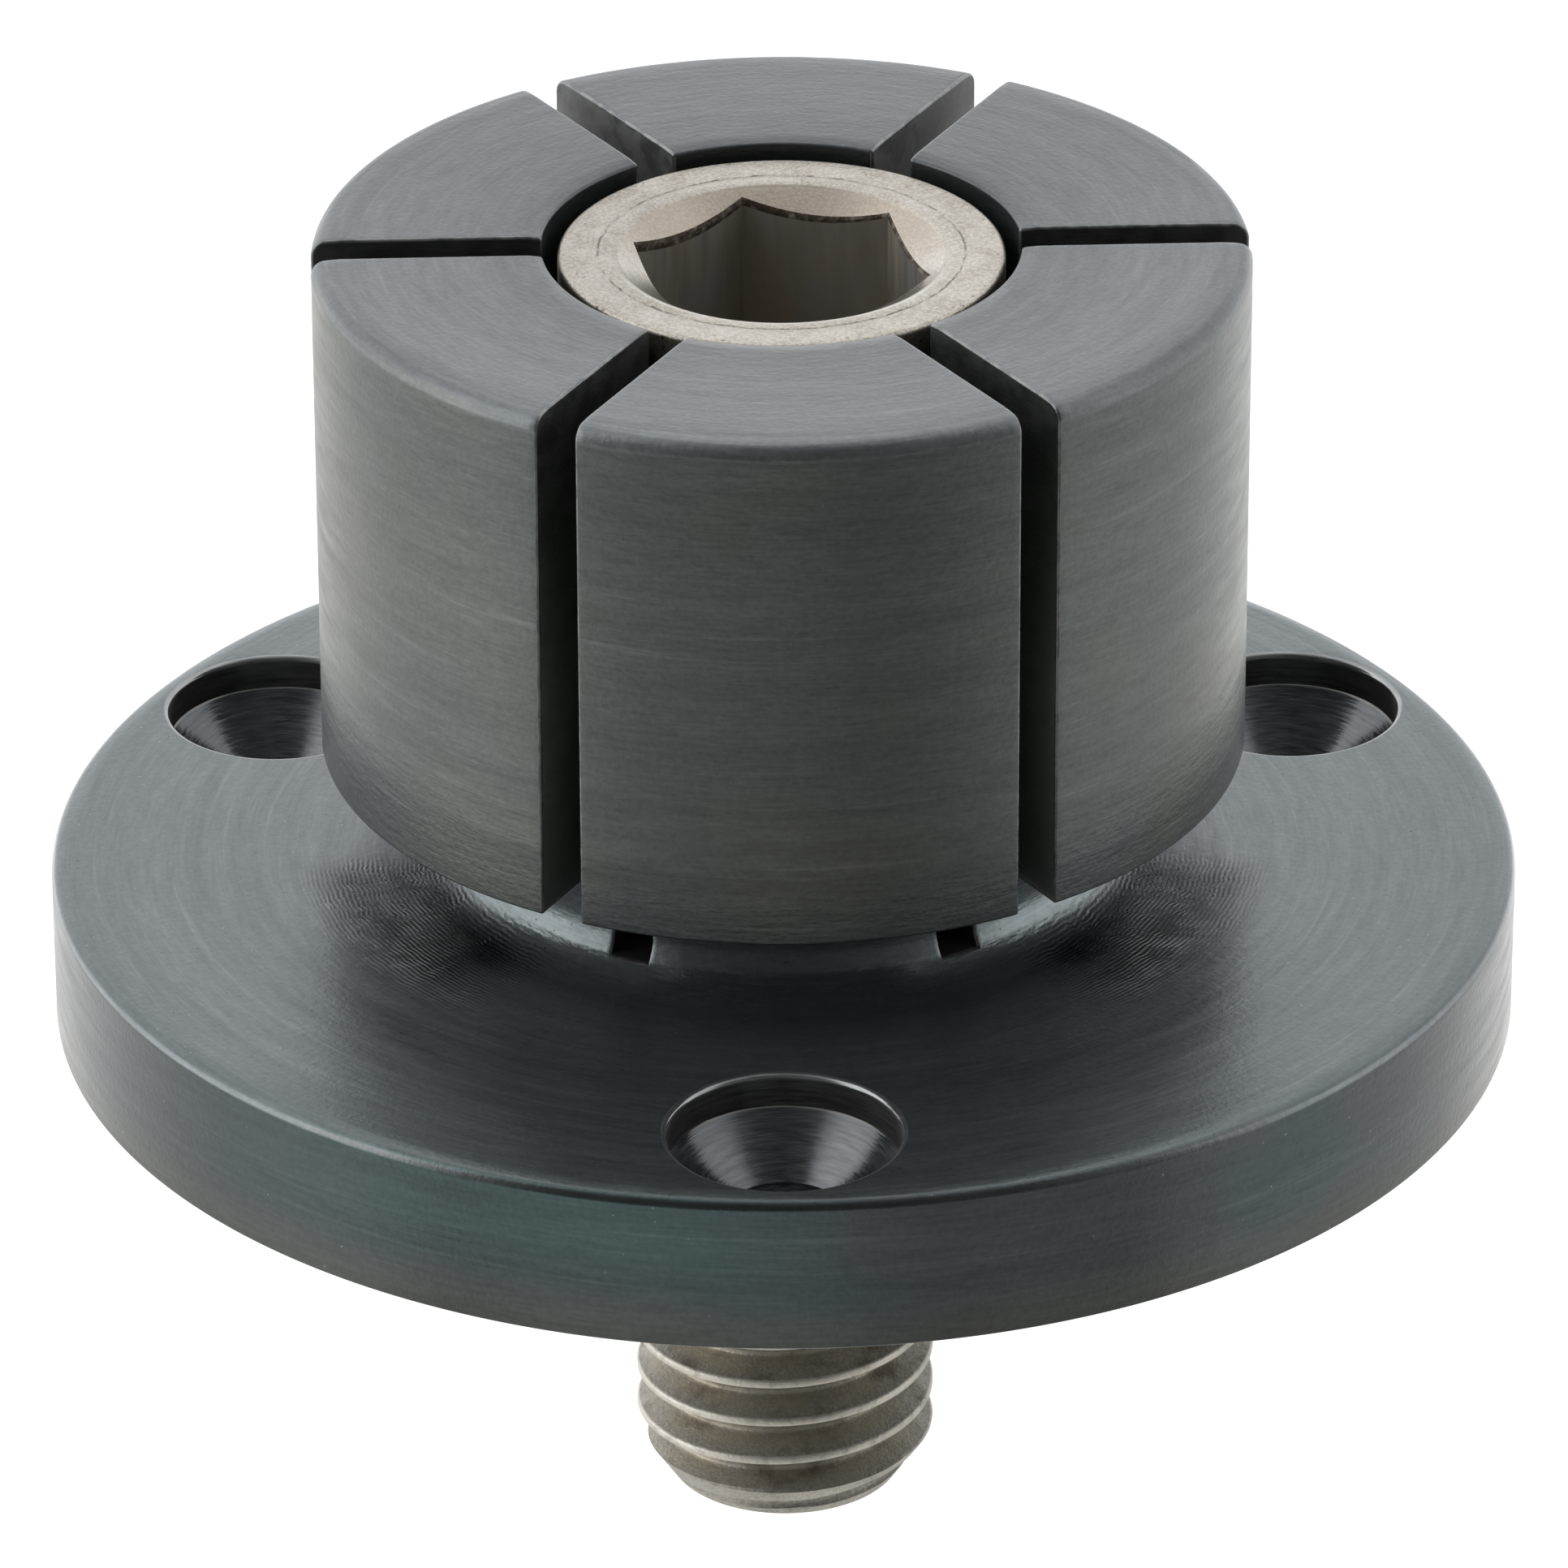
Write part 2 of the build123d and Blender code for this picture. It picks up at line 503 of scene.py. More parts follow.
def oxide_tone_and_painted_light(tree, place, zones, ripple, marks):
    """How light the oxide is from place to place, as a factor of its tint, with painted light and
    shade.
    """
    radius, _, cosine, sine = place
    sideways = calculate(tree, "ABSOLUTE", cosine)
    arcs = tool_marks(tree, place, 3200, 1.2, 2)
    bands = tool_marks(tree, place, 1100, 0.8, 2)
    painted_streaks = remap(tree, tool_marks(tree, place, 5200, 30, 2), 0.62, 0.72, 0, 1)
    # painted shade: the crown is painted darker towards the back, and it is also darker towards the
    # bore
    on_crown = product(
        tree, remap(tree, sine, -0.2, 0.7, 1.0, 0.7), remap(tree, radius, 10 * mm, 14 * mm, 0.8, 1),
    )
    # on the flange the chatter's ripples, a darker zone and painted streaks of light are a painted
    # reflection of the dark crown
    on_flange = product(
        tree, remap(tree, ripple, -0.6, 0.6, 0.1, 2.1), remap(tree, zones["chatter and painted reflection"], 0, 1, 1, 0.25),
        remap(tree, product(tree, zones["chatter and painted reflection"], painted_streaks), 0, 1, 1, 3),
    )
    # painted highlight on the front of the crown's rounded edge, painted shade on its back
    on_crown_edge = product(
        tree, remap(tree, sine, -1, -0.6, 1.65, 1.0), remap(tree, sine, 0, 0.6, 1, 0.7),
    )
    # painted highlight on the neck, strongest at the right, with painted shade at its front middle
    on_neck = product(
        tree, remap(tree, cosine, -0.5, 0.5, 1.45, 1.95),
        mixed(tree, remap(tree, sine, -0.3, -0.6, 0, 1), 1, remap(tree, sideways, 0.3, 0.42, 0.66, 1)),
    )
    return product(
        tree,
        remap(tree, marks, 0.35, 0.65, 0.84, 1.16),
        remap(tree, bands, 0.35, 0.65, 0.92, 1.08),
        remap(tree, arcs, 0.6, 0.7, 1, 1.2),
        mixed(tree, zones["flange"], on_crown, on_flange),
        mixed(tree, zones["crown edge"], 1, on_crown_edge),
        # painted highlight on the flange's edge at the left and right, painted shade at its front
        mixed(tree, zones["flange edge"], 1, remap(tree, sideways, 0.3, 0.5, 0.6, 1.3)),
        mixed(tree, zones["neck"], 1, on_neck),
    )


def speckled(tree, zones, colour):
    """Light dust and dark pits over a colour, most of them on the flange."""
    dusty = product(
        tree, specks(tree, 0.7 * mm, 0.045 * mm), remap(tree, zones["flange"], 0, 1, 0.25, 1),
        remap(tree, cloud(tree, 300, 2), 0.45, 0.6, 0.1, 0.8),
    )
    pitted = product(
        tree, specks(tree, 0.6 * mm, 0.055 * mm), remap(tree, zones["flange"], 0, 1, 0.3, 1),
        remap(tree, zones["rim"], 0, 1, 1, 0.2), remap(tree, cloud(tree, 200, 2), 0.45, 0.55, 0, 1),
    )
    return tinted(tree, pitted, tinted(tree, dusty, colour, dust), pit_black)


def blackened_turned_steel():
    """Black oxide over turned steel, with rings round the axis in its tint and in its relief."""
    material, tree, shader = new_material("blackened_turned_steel")
    place = lathe_place(tree)
    radius = place[0]
    zones = body_zones(tree, place)
    fine = tool_marks(tree, place, 7000, 16, 3)
    broad = tool_marks(tree, place, 2200, 6, 2)
    grain = cloud(tree, 4200, 2)
    ripple = chatter(tree, place, zones["chatter and painted reflection"])
    marks = calculate(
        tree, "ADD", calculate(tree, "MULTIPLY", fine, 0.6), calculate(tree, "MULTIPLY", grain, 0.4),
    )
    side = tinted(tree, remap(tree, cloud(tree, 110, 3), 0.48, 0.62, 0, 0.5), side_oxide, olive_bloom)
    colour = tinted(tree, zones["side"], crown_oxide, side)
    colour = tinted(tree, zones["flange"], colour, flange_oxide)
    colour = tinted(tree, zones["rim"], colour, rim_tint_and_painted_shade(tree, place))
    colour = tinted(tree, zones["flange edge"], colour, crown_oxide)
    colour = shaded(tree, colour, oxide_tone_and_painted_light(tree, place, zones, ripple, marks))
    off_rim = remap(tree, zones["rim"], 0, 1, 1, 0.4)
    relief = raised(tree, product(tree, broad, off_rim), 0.014 * mm)
    relief = raised(tree, product(tree, fine, off_rim), 0.009 * mm, relief)
    relief = raised(tree, ripple, 0.011 * mm, relief)
    relief = raised(tree, grain, 0.01 * mm, relief)
    roughness = mixed(tree, calculate(tree, "MAXIMUM", zones["rim"], zones["neck"]), 0.32, 0.24)
    roughness = mixed(tree, zones["crown edge"], roughness, 0.35)
    roughness = mixed(tree, zones["flange edge"], roughness, 0.17)
    metalness = remap(tree, radius, 16 * mm, 20 * mm, 0.6, 0.74)
    metalness = mixed(tree, zones["flange"], oxide_metalness, metalness)
    feed(
        tree, shader,
        Base_Color=speckled(tree, zones, colour),
        Roughness=calculate(tree, "ADD", roughness, remap(tree, broad, 0.3, 0.7, -0.05, 0.05)),
        Metallic=calculate(tree, "MAXIMUM", zones["chatter and painted reflection"], metalness),
        Tangent=shader_node(tree, "ShaderNodeTangent", direction_type="RADIAL", axis="Z").outputs[0],
        Normal=relief,
    )
    shader.inputs["Anisotropic"].default_value = 0.35
    return material


def sawn_steel():
    """The slits' walls: dull and powdery, with the saw's marks along them and painted light and shade.
    """
    material, tree, shader = new_material("sawn_steel")
    place = shader_node(tree, "ShaderNodeTexCoord").outputs["Object"]
    flattened = shader_node(tree, "ShaderNodeMapping", {"Vector": place, "Scale": (1, 1, 6)})
    marks = shader_node(tree, "ShaderNodeTexNoise", {
        "Vector": flattened.outputs[0], "Scale": 1500.0, "Detail": 3.0,
    }).outputs["Fac"]
    y, height = shader_node(tree, "ShaderNodeSeparateXYZ", {0: place}).outputs[1:]
    stains = cloud(tree, 900, 4)
    # grey stains, kept to the tops of the slits at the back as painted light; the front slits' tops
    # stay dark as painted shade
    stained = product(
        tree, remap(tree, stains, 0.42, 0.58, 0, 1), remap(tree, height, 26 * mm, 31 * mm, 0.1, 1),
        remap(tree, y, 1 * mm, 8 * mm, 0.1, 1),
    )
    # painted light and shade: the walls are painted lighter deep down, darker near the top, and dark
    # at the slits' floor
    tone = product(
        tree, remap(tree, height, 20 * mm, 31 * mm, 4.6, 0.65),
        remap(tree, height, 9.5 * mm, 12 * mm, 0.2, 1),
    )
    feed(
        tree, shader,
        Base_Color=shaded(tree, tinted(tree, stained, saw_black, saw_grey), tone),
        Roughness=remap(tree, stains, 0.35, 0.65, 0.42, 0.6),
        Normal=raised(tree, marks, 0.015 * mm),
    )
    shader.inputs["Metallic"].default_value = 0.3
    return material


def worn_steel():
    """The edges of the slits, where tumbling has worn the oxide thin."""
    material, tree, shader = new_material("worn_edge")
    wear = cloud(tree, 1500, 3)
    feed(
        tree, shader,
        Base_Color=tinted(tree, remap(tree, wear, 0.4, 0.6, 0, 1), worn_oxide, bare_steel),
        Roughness=remap(tree, wear, 0.35, 0.65, 0.24, 0.36),
        Normal=raised(tree, cloud(tree, 4200, 2), 0.01 * mm),
    )
    shader.inputs["Metallic"].default_value = oxide_metalness
    return material


def hole_place(tree):
    """Where each point lies round the axis of its own screw hole."""
    radius, height, cosine, sine = lathe_place(tree)
    bearing = calculate(tree, "ARCTAN2", sine, cosine)
    share = 2 * pi / hole_count
    past_hole = calculate(tree, "ADD", calculate(tree, "SUBTRACT", bearing, hole_start), share / 2)
    turn = calculate(tree, "SUBTRACT", calculate(tree, "FLOORED_MODULO", past_hole, share), share / 2)
    across = calculate(tree, "MULTIPLY", radius, calculate(tree, "COSINE", turn))
    along = calculate(tree, "MULTIPLY", radius, calculate(tree, "SINE", turn))
    return polar(tree, calculate(tree, "SUBTRACT", across, hole_circle), along, height)


def countersunk_steel():
    """The screw holes' walls: cut clean and bright, with rings round each hole's own axis."""
    material, tree, shader = new_material("countersunk_steel")
    place = hole_place(tree)
    radius, height = place[:2]
    rings = tool_marks(tree, place, 7000, 3, 2)
    on_wall = remap(tree, radius, cone_radius - 0.02 * mm, cone_radius + 0.02 * mm, 0, 1)
    on_lip = remap(tree, height, flange_top - 0.24 * mm, flange_top - 0.16 * mm, 0, 1)
    up_cone = remap(tree, height, cone_top - 0.9 * mm, cone_top, 1.05, 0.9)
    colour = tinted(tree, on_wall, cone_steel, wall_steel)
    colour = shaded(tree, colour, mixed(tree, on_wall, up_cone, 1))
    colour = tinted(tree, on_lip, colour, lip_steel)
    feed(
        tree, shader,
        Base_Color=shaded(tree, colour, remap(tree, rings, 0.35, 0.65, 0.75, 1.25)),
        Roughness=mixed(tree, on_lip, remap(tree, rings, 0.3, 0.7, 0.12, 0.24), 0.16),
        Normal=raised(tree, rings, 0.012 * mm),
    )
    shader.inputs["Metallic"].default_value = oxide_metalness
    return material


body = to_object(
    crown_body(), "mandrel_body_finish",
    blackened_turned_steel(), sawn_steel(), countersunk_steel(), worn_steel(),
)
drilled(body)
deburred(body)
smoothed(body, radians(40))
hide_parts("mandrel_body")
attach(body, "body")


# TAPER SCREW
# Turned steel, dull nickel plated: a head with a hexagon socket, a taper that spreads the crown, a
# relieved shank, and an M12 thread that pulls the taper down into the tapped hole under the flange.
screw_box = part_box("clamping_screw")
screw_tip = screw_box[0].z
head_top = screw_box[1].z
head_radius = screw_box[1].x
thread_pitch = 1.75 * mm
crest_radius = 5.925 * mm
root_radius = 4.86 * mm
tip_radius = 4.65 * mm
tip_chamfer = 1.9 * mm
thread_end = 0.0
shank_radius = 5.1 * mm
taper_base = 15.0 * mm
taper_top = head_top - 7.2 * mm
head_rounding = 0.22 * mm
hexagon_half_width = 5.0 * mm
hexagon_depth = 6.5 * mm
hexagon_turn = radians(45)
mouth_radius = 6.4 * mm
mouth_slope = tan(radians(30))
mouth_rounding = 1.0 * mm
drill_radius = 4.8 * mm
drill_slope = tan(radians(30))
groove_radius = 7.0 * mm
groove_half_width = 0.08 * mm
groove_depth = 0.03 * mm
lip_width = 0.09 * mm
lip_height = 0.38 * mm
screw_turns = 192
# height of a crest over the tip at the socket's first corner, as a share of the pitch
thread_start = 0.194
# half of the thread's profile from crest to root, each point as a share of the pitch and a depth
half_thread = [
    (0, 0), (0.065, 0), (0.08, 0.014 * mm), (0.095, 0.055 * mm), (0.17, 0.295 * mm),
    (0.265, 0.6 * mm), (0.36, 0.9 * mm), (0.405, 1.03 * mm), (0.43, 1.06 * mm), (0.5, 1.065 * mm),
]
thread_profile = half_thread[:-1] + [(1 - share, depth) for share, depth in half_thread[:0:-1]]


def hexagon_radius(angle):
    """Distance from the axis to the socket's wall at an angle."""
    side = (angle - hexagon_turn) % (pi / 3) - pi / 6
    return hexagon_half_width / cos(side)


def screw_rows():
    """Rows of (radius, height) from the thread's end up the shank and the taper, and over the head."""
    rows = [
        (shank_radius, thread_end + 0.1 * mm),
        (shank_radius, taper_base),
        (head_radius, taper_top),
        (head_radius, head_top - head_rounding),
    ]
    rows += [
        (head_radius - head_rounding * (1 - cos(a)), head_top - head_rounding * (1 - sin(a)))
        for a in (radians(15 * i) for i in range(1, 7))
    ]
    rows += [
        (groove_radius + groove_half_width, head_top),
        (groove_radius, head_top - groove_depth),
        (groove_radius - groove_half_width, head_top),
    ]
    rows += [
        (
            mouth_radius + mouth_rounding * (tan(radians(15)) - sin(a)),
            head_top - mouth_rounding * (1 - cos(a)),
        )
        for a in (radians(7.5 * i) for i in range(5))
    ]
    return rows


def screw_mesh():
    """The whole screw as one closed mesh; the thread's rows follow the helix between two rings."""
    mesh = bmesh.new()
    step = 2 * pi / screw_turns
    angles = [hexagon_turn + j * step for j in range(screw_turns)]
    per_pitch = len(thread_profile)
    thread_rows = int((thread_end - screw_tip) / thread_pitch + 3) * per_pitch

    def ring(radius, height):
        return [
            mesh.verts.new((radius(a) * cos(a), radius(a) * sin(a), height(a))) for a in angles
        ]

    def thread_vertex(row, column):
        angle = hexagon_turn + column * step
        share, depth = thread_profile[row % per_pitch]
        turns = row // per_pitch - 2 + share + thread_start + column / screw_turns
        height = screw_tip + turns * thread_pitch
        if height <= screw_tip:
            radius, height = tip_radius, screw_tip
        elif height >= thread_end:
            radius, height = shank_radius, thread_end
        else:
            chamfer = tip_radius + (height - screw_tip) * (crest_radius - tip_radius) / tip_chamfer
            radius = min(crest_radius - depth, chamfer)
        return mesh.verts.new((radius * cos(angle), radius * sin(angle), height))

    # the thread, from the tip up to its end, one pitch ahead after each turn
    rows = [[thread_vertex(p, j) for j in range(screw_turns)] for p in range(thread_rows)]
    for p in range(thread_rows - 1):
        for j in range(screw_turns):
            if j + 1 < screw_turns:
                mesh.faces.new((rows[p][j], rows[p][j + 1], rows[p + 1][j + 1], rows[p + 1][j]))
            elif p + 1 + per_pitch < thread_rows:
                ahead = p + per_pitch
                mesh.faces.new((rows[p][j], rows[ahead][0], rows[ahead + 1][0], rows[p + 1][j]))
    # the shank, the taper and the head, then down into the socket: the lip, the walls and the floor
    rings = [ring(lambda a: shank_radius, lambda a: thread_end)]
    rings += [ring(lambda a, r=r: r, lambda a, z=z: z) for r, z in screw_rows()]

    def lip_top(angle):
        return head_top - (mouth_radius - hexagon_radius(angle) - lip_width) * mouth_slope

    rings.append(ring(lambda a: hexagon_radius(a) + lip_width, lip_top))
    lip = len(rings) - 1
    rings.append(ring(lambda a: hexagon_radius(a) + 0.6 * lip_width, lambda a: lip_top(a) - 0.08 * mm))
    # the punch broke the lip away deeper on the left than on the right
    rings.append(ring(hexagon_radius, lambda a: lip_top(a) - lip_height * (0.75 - 0.35 * cos(a))))
    socket_floor = head_top - hexagon_depth
    rings.append(ring(hexagon_radius, lambda a: socket_floor))
    rings.append(ring(lambda a: drill_radius, lambda a: socket_floor))
    drill_tip = mesh.verts.new((0, 0, socket_floor - drill_radius * drill_slope))
    # the flat tip
    tip_rings = [ring(lambda a, r=r: r, lambda a: screw_tip) for r in (tip_radius, 0.3 * tip_radius)]
    tip_centre = mesh.verts.new((0, 0, screw_tip))
    # plated faces are material 0, the two bands of the broken lip are 1 and the bare socket is 2
    kinds = [0] * lip + [1] * 2 + [2] * (len(rings) - lip - 3) + [0]
    for kind, low, high in zip(kinds, rings[:-1] + tip_rings[:1], rings[1:] + tip_rings[1:]):
        for j in range(screw_turns):
            after = (j + 1) % screw_turns
            mesh.faces.new((low[j], low[after], high[after], high[j])).material_index = kind
    for centre, around, kind in ((drill_tip, rings[-1], 2), (tip_centre, tip_rings[-1], 0)):
        for j in range(screw_turns):
            mesh.faces.new((centre, around[j], around[(j + 1) % screw_turns])).material_index = kind
    bmesh.ops.remove_doubles(mesh, verts=mesh.verts, dist=0.0005 * mm)
    bmesh.ops.recalc_face_normals(mesh, faces=mesh.faces)
    return mesh


nickel = (0.262, 0.244, 0.208)
worn_nickel = (0.335, 0.317, 0.277)
dull_nickel = (0.215, 0.191, 0.156)
# a warm dirt tint, lighter than the plate: painted light on the thread's flanks
grime_and_painted_light = (0.362, 0.330, 0.250)
# painted highlight for the front of the socket's mouth
painted_highlight_nickel = (0.560, 0.545, 0.510)
# worn plating on the crests, with a painted highlight
crest_wear_and_painted_highlight = (0.560, 0.530, 0.465)
warm_nickel = (0.215, 0.182, 0.143)
thread_stain = (0.110, 0.088, 0.058)
scale_brown = (0.048, 0.036, 0.024)
socket_grey = (0.262, 0.255, 0.232)
socket_stain = (0.275, 0.245, 0.196)


def screw_zones(tree, place):
    """The plated faces and edges by name, each as a mask: 1 there and 0 elsewhere."""
    radius, height, _, sine = place
    head = remap(tree, height, 10 * mm, 12 * mm, 0, 1)
    return {
        "head": head,
        "mouth": product(
            tree, head, remap(tree, radius, mouth_radius - 0.1 * mm, mouth_radius - 0.2 * mm, 0, 1),
        ),
        # the front of the mouth's ring, where a painted highlight goes
        "mouth ring": product(
            tree, head, remap(tree, radius, mouth_radius + 0.16 * mm, mouth_radius + 0.08 * mm, 0, 1),
            remap(tree, radius, mouth_radius - 0.16 * mm, mouth_radius - 0.08 * mm, 0, 1),
            remap(tree, sine, -0.3, -0.8, 0, 0.45),
        ),
        "thread": remap(tree, height, -0.2 * mm, -0.4 * mm, 0, 1),
        "off tip": remap(tree, height, screw_tip + 1.0 * mm, screw_tip + 2.2 * mm, 0, 1),
        "root": remap(tree, radius, crest_radius - 0.12 * mm, crest_radius - 0.6 * mm, 0, 1),
        "crest": remap(tree, radius, crest_radius - 0.012 * mm, crest_radius - 0.004 * mm, 0, 1),
        "crest edge": product(
            tree, remap(tree, radius, crest_radius - 0.1 * mm, crest_radius - 0.05 * mm, 0, 1),
            remap(tree, radius, crest_radius - 0.004 * mm, crest_radius - 0.012 * mm, 0, 1),
        ),
    }


def head_tint(tree, place, zones, blotches, colour):
    """Stains in the socket's mouth, a painted highlight on its ring's front, and the ring scribed
    round it.
    """
    radius, height, _, sine = place
    stained = product(tree, zones["mouth"], remap(tree, sine, -0.2, 0.5, 0, 0.6))
    colour = tinted(tree, stained, colour, warm_nickel)
    # painted highlight along the front of the mouth's ring
    colour = tinted(tree, zones["mouth ring"], colour, painted_highlight_nickel)
    wander = calculate(tree, "MULTIPLY", blotches, 0.25 * mm)
    ring = calculate(tree, "ADD", wander, groove_radius - 0.125 * mm)
    off_ring = calculate(tree, "ABSOLUTE", calculate(tree, "SUBTRACT", radius, ring))
    scribed = product(
        tree, remap(tree, off_ring, 0.02 * mm, 0.055 * mm, 1, 0),
        remap(tree, height, -1 * mm, 1 * mm, 0, 1),
        remap(tree, cloud(tree, 1200, 3), 0.42, 0.55, 0, 0.75),
    )
    return tinted(tree, scribed, colour, scale_brown)


def thread_tint(tree, zones, blotches, colour):
    """Dirt in the grooves, lightened as painted light; brown stains; worn crests with a painted
    highlight.
    """
    # the thread's dirt tint is lighter than the plate: painted light on its flanks and roots
    in_groove = product(
        tree, zones["off tip"], zones["root"], remap(tree, cloud(tree, 500, 4), 0.4, 0.62, 0.3, 0.9),
    )
    smeared = product(tree, zones["crest"], remap(tree, blotches, 0.45, 0.65, 0.1, 0.5))
    grime_and_painted_light_share = product(tree, zones["thread"], calculate(tree, "MAXIMUM", in_groove, smeared))
    colour = tinted(tree, grime_and_painted_light_share, colour, grime_and_painted_light)
    stained = product(
        tree, zones["thread"], zones["off tip"], remap(tree, cloud(tree, 650, 4), 0.52, 0.68, 0, 0.7),
    )
    colour = tinted(tree, stained, colour, thread_stain)
    # bright crests: worn plating, with a painted highlight along their rounded edges
    crests = calculate(
        tree, "MAXIMUM", zones["crest edge"], calculate(tree, "MULTIPLY", zones["crest"], 0.85),
    )
    worn = product(tree, zones["thread"], remap(tree, blotches, 0.3, 0.5, 0.4, 1.0), crests)
    return tinted(tree, worn, colour, crest_wear_and_painted_highlight)


def nickel_plate():
    """Dull nickel with a warm cast: grainy, cloudy, pitted, with worn crests and painted light and
    shade.
    """
    material, tree, shader = new_material("dull_nickel_plate")
    place = lathe_place(tree)
    radius, _, cosine, sine = place
    zones = screw_zones(tree, place)
    grain = cloud(tree, 8000, 3)
    patches = cloud(tree, 700, 4)
    blotches = cloud(tree, 1900, 3)
    turned = tool_marks(tree, place, 6000, 4, 2)
    colour = tinted(tree, remap(tree, patches, 0.42, 0.62, 0, 0.55), nickel, dull_nickel)
    colour = tinted(tree, remap(tree, grain, 0.42, 0.6, 0, 1), colour, worn_nickel)
    pits = product(
        tree, remap(tree, cloud(tree, 4200, 3), 0.38, 0.3, 0, 0.8),
        remap(tree, radius, 7.4 * mm, 8.3 * mm, 0.25, 1),
    )
    colour = tinted(tree, pits, colour, scale_brown)
    colour = head_tint(tree, place, zones, blotches, colour)
    colour = thread_tint(tree, zones, blotches, colour)
    # painted shade: the head is darker at the left, and the socket's mouth darker at its front
    head_tone = product(
        tree, remap(tree, cosine, -0.9, -0.3, 0.88, 1),
        mixed(tree, zones["mouth"], 1, remap(tree, sine, -0.9, -0.3, 0.7, 1)),
    )
    # painted shade: the thread is darker at the right and at the left
    thread_tone = product(
        tree, remap(tree, cosine, 0.45, 0.95, 1, 0.6), remap(tree, cosine, -0.9, -0.3, 0.85, 1),
    )
    tone = product(
        tree, mixed(tree, zones["head"], 1, head_tone), mixed(tree, zones["thread"], 1, thread_tone),
    )
    smoothest = mixed(tree, zones["thread"], 0.34, 0.44)
    roughest = mixed(tree, zones["thread"], 0.5, 0.6)
    rubbed = calculate(tree, "MAXIMUM", zones["mouth"], zones["mouth ring"])
    off_mouth = remap(tree, zones["mouth"], 0, 1, 1, 0.3)
    relief = raised(tree, turned, 0.008 * mm)
    relief = raised(tree, product(tree, blotches, off_mouth), 0.018 * mm, relief)
    relief = raised(tree, product(tree, grain, off_mouth), 0.018 * mm, relief)
    feed(
        tree, shader,
        Base_Color=shaded(tree, colour, tone),
        Roughness=mixed(tree, rubbed, remap(tree, patches, 0.3, 0.7, smoothest, roughest), 0.22),
        Metallic=mixed(tree, zones["thread"], 0.96, 0.76),
        Normal=relief,
    )
    return material


def scaled_lip():
    """The broken lip of the punched hexagon, rough and stained brown."""
    material, tree, shader = new_material("stained_lip")
    blotches = cloud(tree, 2400, 4)
    feed(
        tree, shader,
        Base_Color=tinted(tree, remap(tree, blotches, 0.48, 0.66, 0, 0.8), scale_brown, dull_nickel),
        Roughness=remap(tree, cloud(tree, 1500, 3), 0.3, 0.7, 0.4, 0.65),
        Normal=raised(tree, blotches, 0.08 * mm),
    )
    shader.inputs["Metallic"].default_value = 0.7
    return material


def socket_steel():
    """The socket's walls and floor: unplated, dull grey, with the punch's upright marks."""
    material, tree, shader = new_material("punched_socket")
    place = shader_node(tree, "ShaderNodeTexCoord").outputs["Object"]
    drawn_out = shader_node(tree, "ShaderNodeMapping", {"Vector": place, "Scale": (1, 1, 0.12)})
    marks = shader_node(tree, "ShaderNodeTexNoise", {
        "Vector": drawn_out.outputs[0], "Scale": 2200.0, "Detail": 3.0,
    }).outputs["Fac"]
    stains = cloud(tree, 450, 4)
    feed(
        tree, shader,
        Base_Color=tinted(tree, remap(tree, stains, 0.4, 0.62, 0, 1), socket_grey, socket_stain),
        Roughness=remap(tree, marks, 0.3, 0.7, 0.36, 0.55),
        Normal=raised(tree, marks, 0.02 * mm),
    )
    shader.inputs["Metallic"].default_value = 0.75
    return material


screw = to_object(screw_mesh(), "clamping_screw_finish", nickel_plate(), scaled_lip(), socket_steel())
smoothed(screw, radians(35))
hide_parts("clamping_screw")
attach(screw, "screw")


# GROUND AND LIGHT
# A plain white ground far enough below that no shadow shows, in the soft light of a white studio:
# lit from behind and from both sides, and dim where the camera stands.
ground_level = -0.25
ground_size = 20.0

ground_mesh = bmesh.new()
bmesh.ops.create_grid(ground_mesh, x_segments=1, y_segments=1, size=ground_size / 2)
bmesh.ops.translate(ground_mesh, verts=ground_mesh.verts, vec=(0, 0, ground_level))
paper, paper_tree, paper_shader = new_material("white_paper")
paper_shader.inputs["Base Color"].default_value = (0.9, 0.9, 0.9, 1)
paper_shader.inputs["Roughness"].default_value = 0.9
ground = to_object(ground_mesh, "ground", paper)
ground.visible_diffuse = False
ground.visible_glossy = False

# brightness by bearing in degrees, with the camera at 0 and its right hand at +90; the ceiling's
# brightness grows from the camera's side to the back, given at two places as (share of the way, level)
table_light = [
    (-180, 1.1), (-160, 1.4), (-129, 1.5), (-105, 1.45), (-77, 1.74), (-62, 1.5), (-48, 0.95),
    (-23, 0.77), (0, 0.68), (23, 0.4), (48, 0.62), (77, 1.4), (105, 1.3), (129, 1.42), (147, 1.55),
    (160, 1.45), (180, 1.2),
]
wall_light = [
    (-180, 2.0), (-140, 2.2), (-118, 2.8), (-95, 3.5), (-75, 3.5), (-60, 2.6), (-50, 0.6),
    (-42, 0.25), (0, 0.12), (46, 0.24), (62, 0.45), (72, 1.5), (84, 2.1), (100, 2.2), (135, 2.0),
    (180, 2.0),
]
ceiling_light = [(-0.48, 0.14), (0.45, 1.8)]
floor_light = 1.4
brightest = 5.0
table_tint = (1.0, 1.0, 0.985)
wall_tint = (0.995, 0.995, 1.015)
seen_light = 1.1
seen_tint = (1.0, 1.0, 1.0)


def curve_of(tree, value, stops):
    """A smooth curve through (place, value) stops, both from 0 to 1."""
    ramp = shader_node(tree, "ShaderNodeValToRGB", {"Fac": value})
    ramp.color_ramp.interpolation = "EASE"
    elements = ramp.color_ramp.elements
    while len(elements) < len(stops):
        elements.new(0.5)
    for element, (place, _) in zip(elements, stops):
        element.position = place
    for element, (_, level) in zip(elements, stops):
        element.color = (level, level, level, 1)
    return ramp.outputs[0]


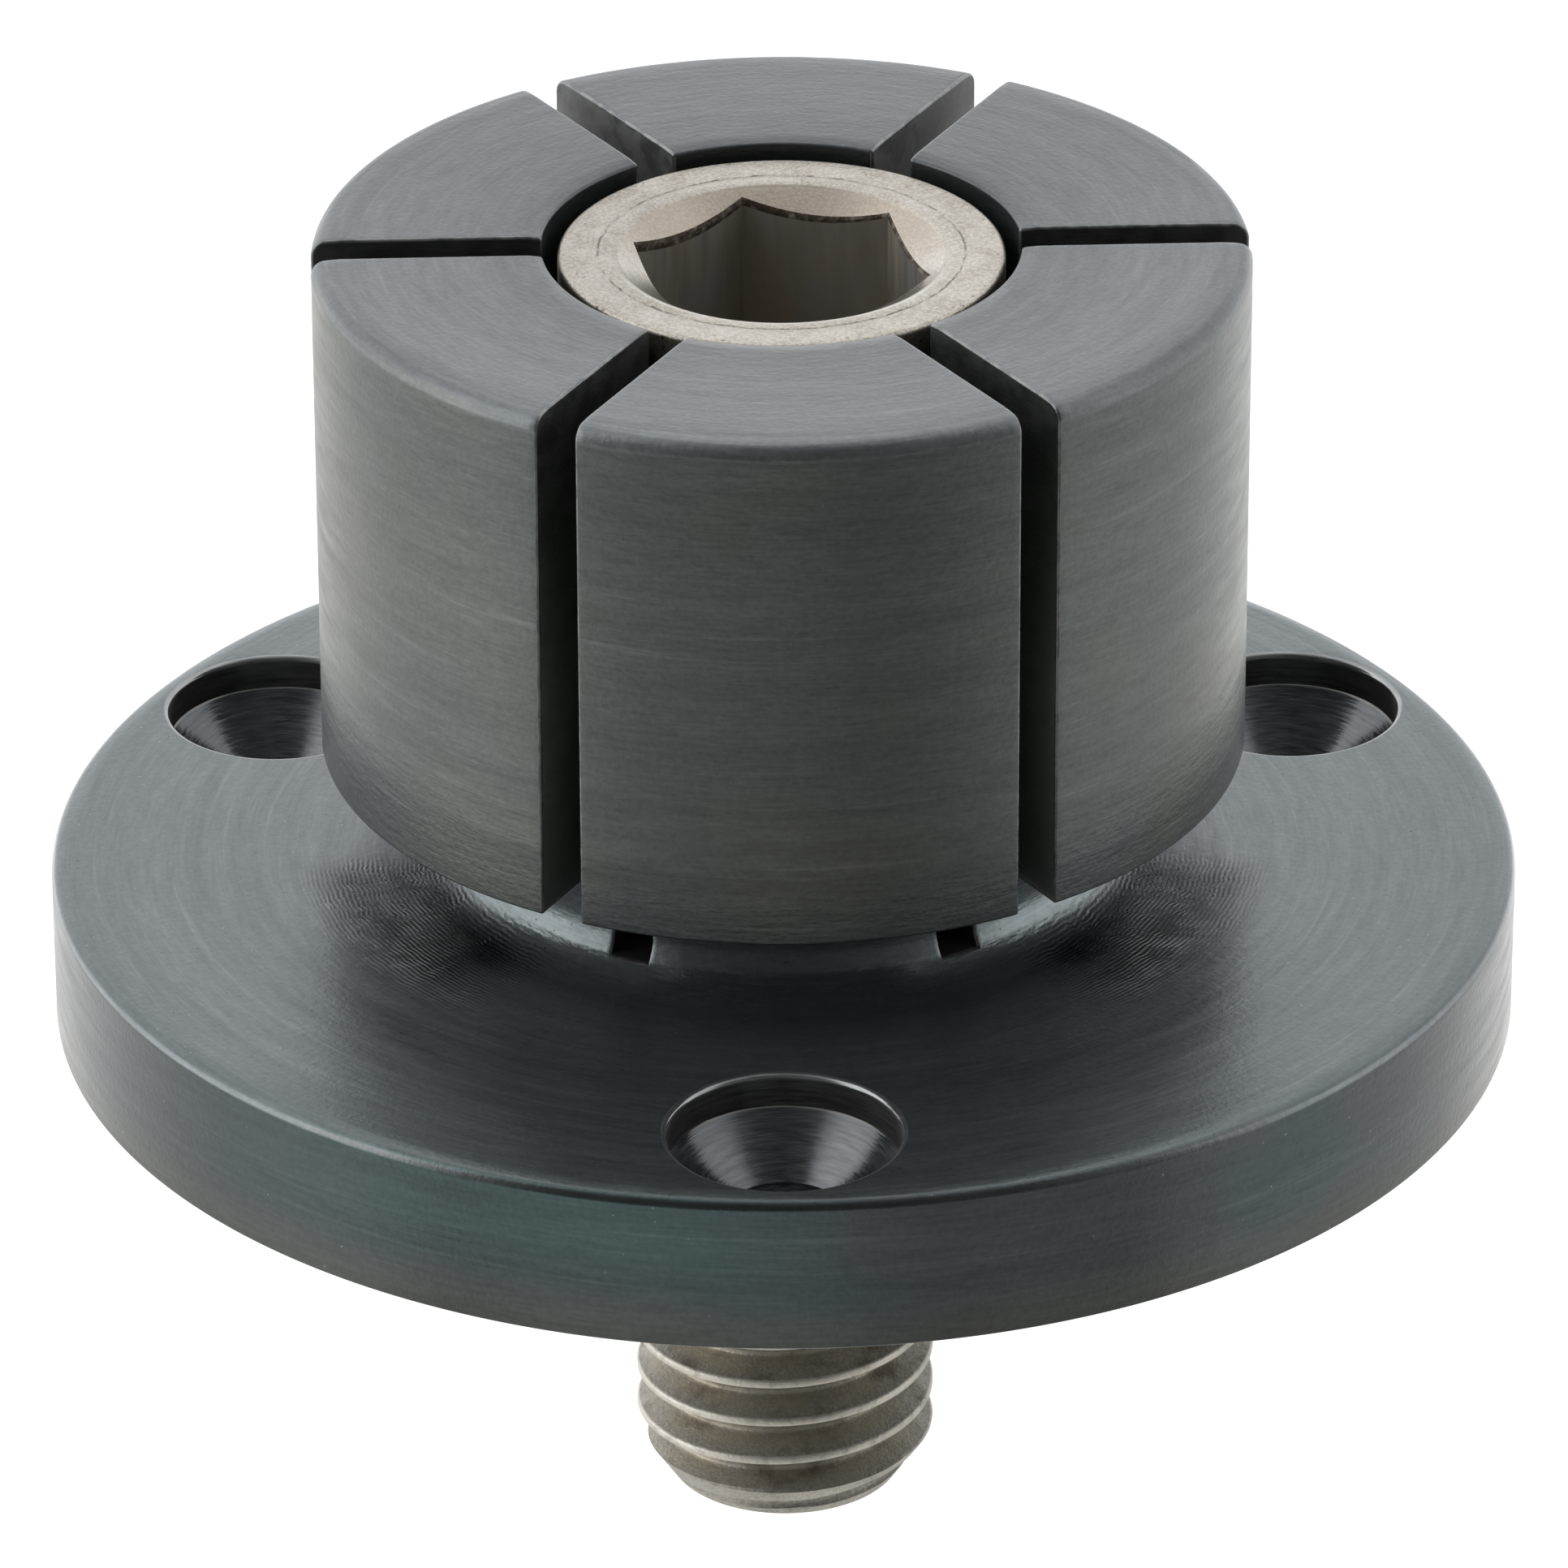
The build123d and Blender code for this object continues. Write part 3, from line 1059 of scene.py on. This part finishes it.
def round_the_studio(tree, bearing, light):
    """Brightness by bearing, from stops in degrees."""
    around = remap(tree, bearing, -pi, pi, 0, 1)
    stops = [((degree + 180) / 360, level / brightest) for degree, level in light]
    return calculate(tree, "MULTIPLY", curve_of(tree, around, stops), brightest)


def studio():
    """The studio's light as seen from the object; what the camera sees of it is plain white."""
    world = bpy.data.worlds.new("studio")
    world.use_nodes = True
    tree = world.node_tree
    surroundings = tree.nodes["Background"]
    toward = shader_node(tree, "ShaderNodeTexCoord").outputs["Generated"]
    x, y, z = shader_node(tree, "ShaderNodeSeparateXYZ", {0: toward}).outputs
    bearing = calculate(tree, "ARCTAN2", x, calculate(tree, "MULTIPLY", y, -1.0))
    lift = calculate(tree, "ARCSINE", z)
    above_table = remap(tree, lift, radians(-24), radians(-10), 0, 1, "SMOOTHSTEP")
    overhead = remap(tree, lift, radians(45), radians(70), 0, 1, "SMOOTHSTEP")
    level = mixed(
        tree, above_table,
        round_the_studio(tree, bearing, table_light), round_the_studio(tree, bearing, wall_light),
    )
    underneath = remap(tree, lift, radians(-45), radians(-70), 0, 1, "SMOOTHSTEP")
    level = mixed(tree, underneath, level, floor_light)
    (front, front_level), (back, back_level) = ceiling_light
    level = mixed(tree, overhead, level, remap(tree, y, front, back, front_level, back_level))
    seen = shader_node(tree, "ShaderNodeLightPath").outputs["Is Camera Ray"]
    tree.links.new(mixed(tree, seen, level, seen_light), surroundings.inputs["Strength"])
    colour = tinted(tree, above_table, table_tint, wall_tint)
    tree.links.new(tinted(tree, seen, colour, seen_tint), surroundings.inputs["Color"])
    return world


bpy.context.scene.world = studio()
bpy.context.scene.view_settings.view_transform = "Standard"


# CAMERA
# A long lens from the front and above, with the frame centred a little below the crown.
aim = Vector((0.03, 0, 8.795)) * mm
elevation = radians(27.466)
distance = 438.6 * mm
roll = -0.0031

camera_data = bpy.data.cameras.new("camera")
camera_data.lens = 258.0
camera_data.sensor_width = 36.0
camera_data.clip_start = 0.01
camera = bpy.data.objects.new("camera", camera_data)
camera.location = aim + distance * Vector((0, -cos(elevation), sin(elevation)))
camera.rotation_euler = (pi / 2 - elevation, 0, 0)
camera.rotation_euler.rotate_axis("Z", roll)
bpy.context.scene.collection.objects.link(camera)
bpy.context.scene.camera = camera
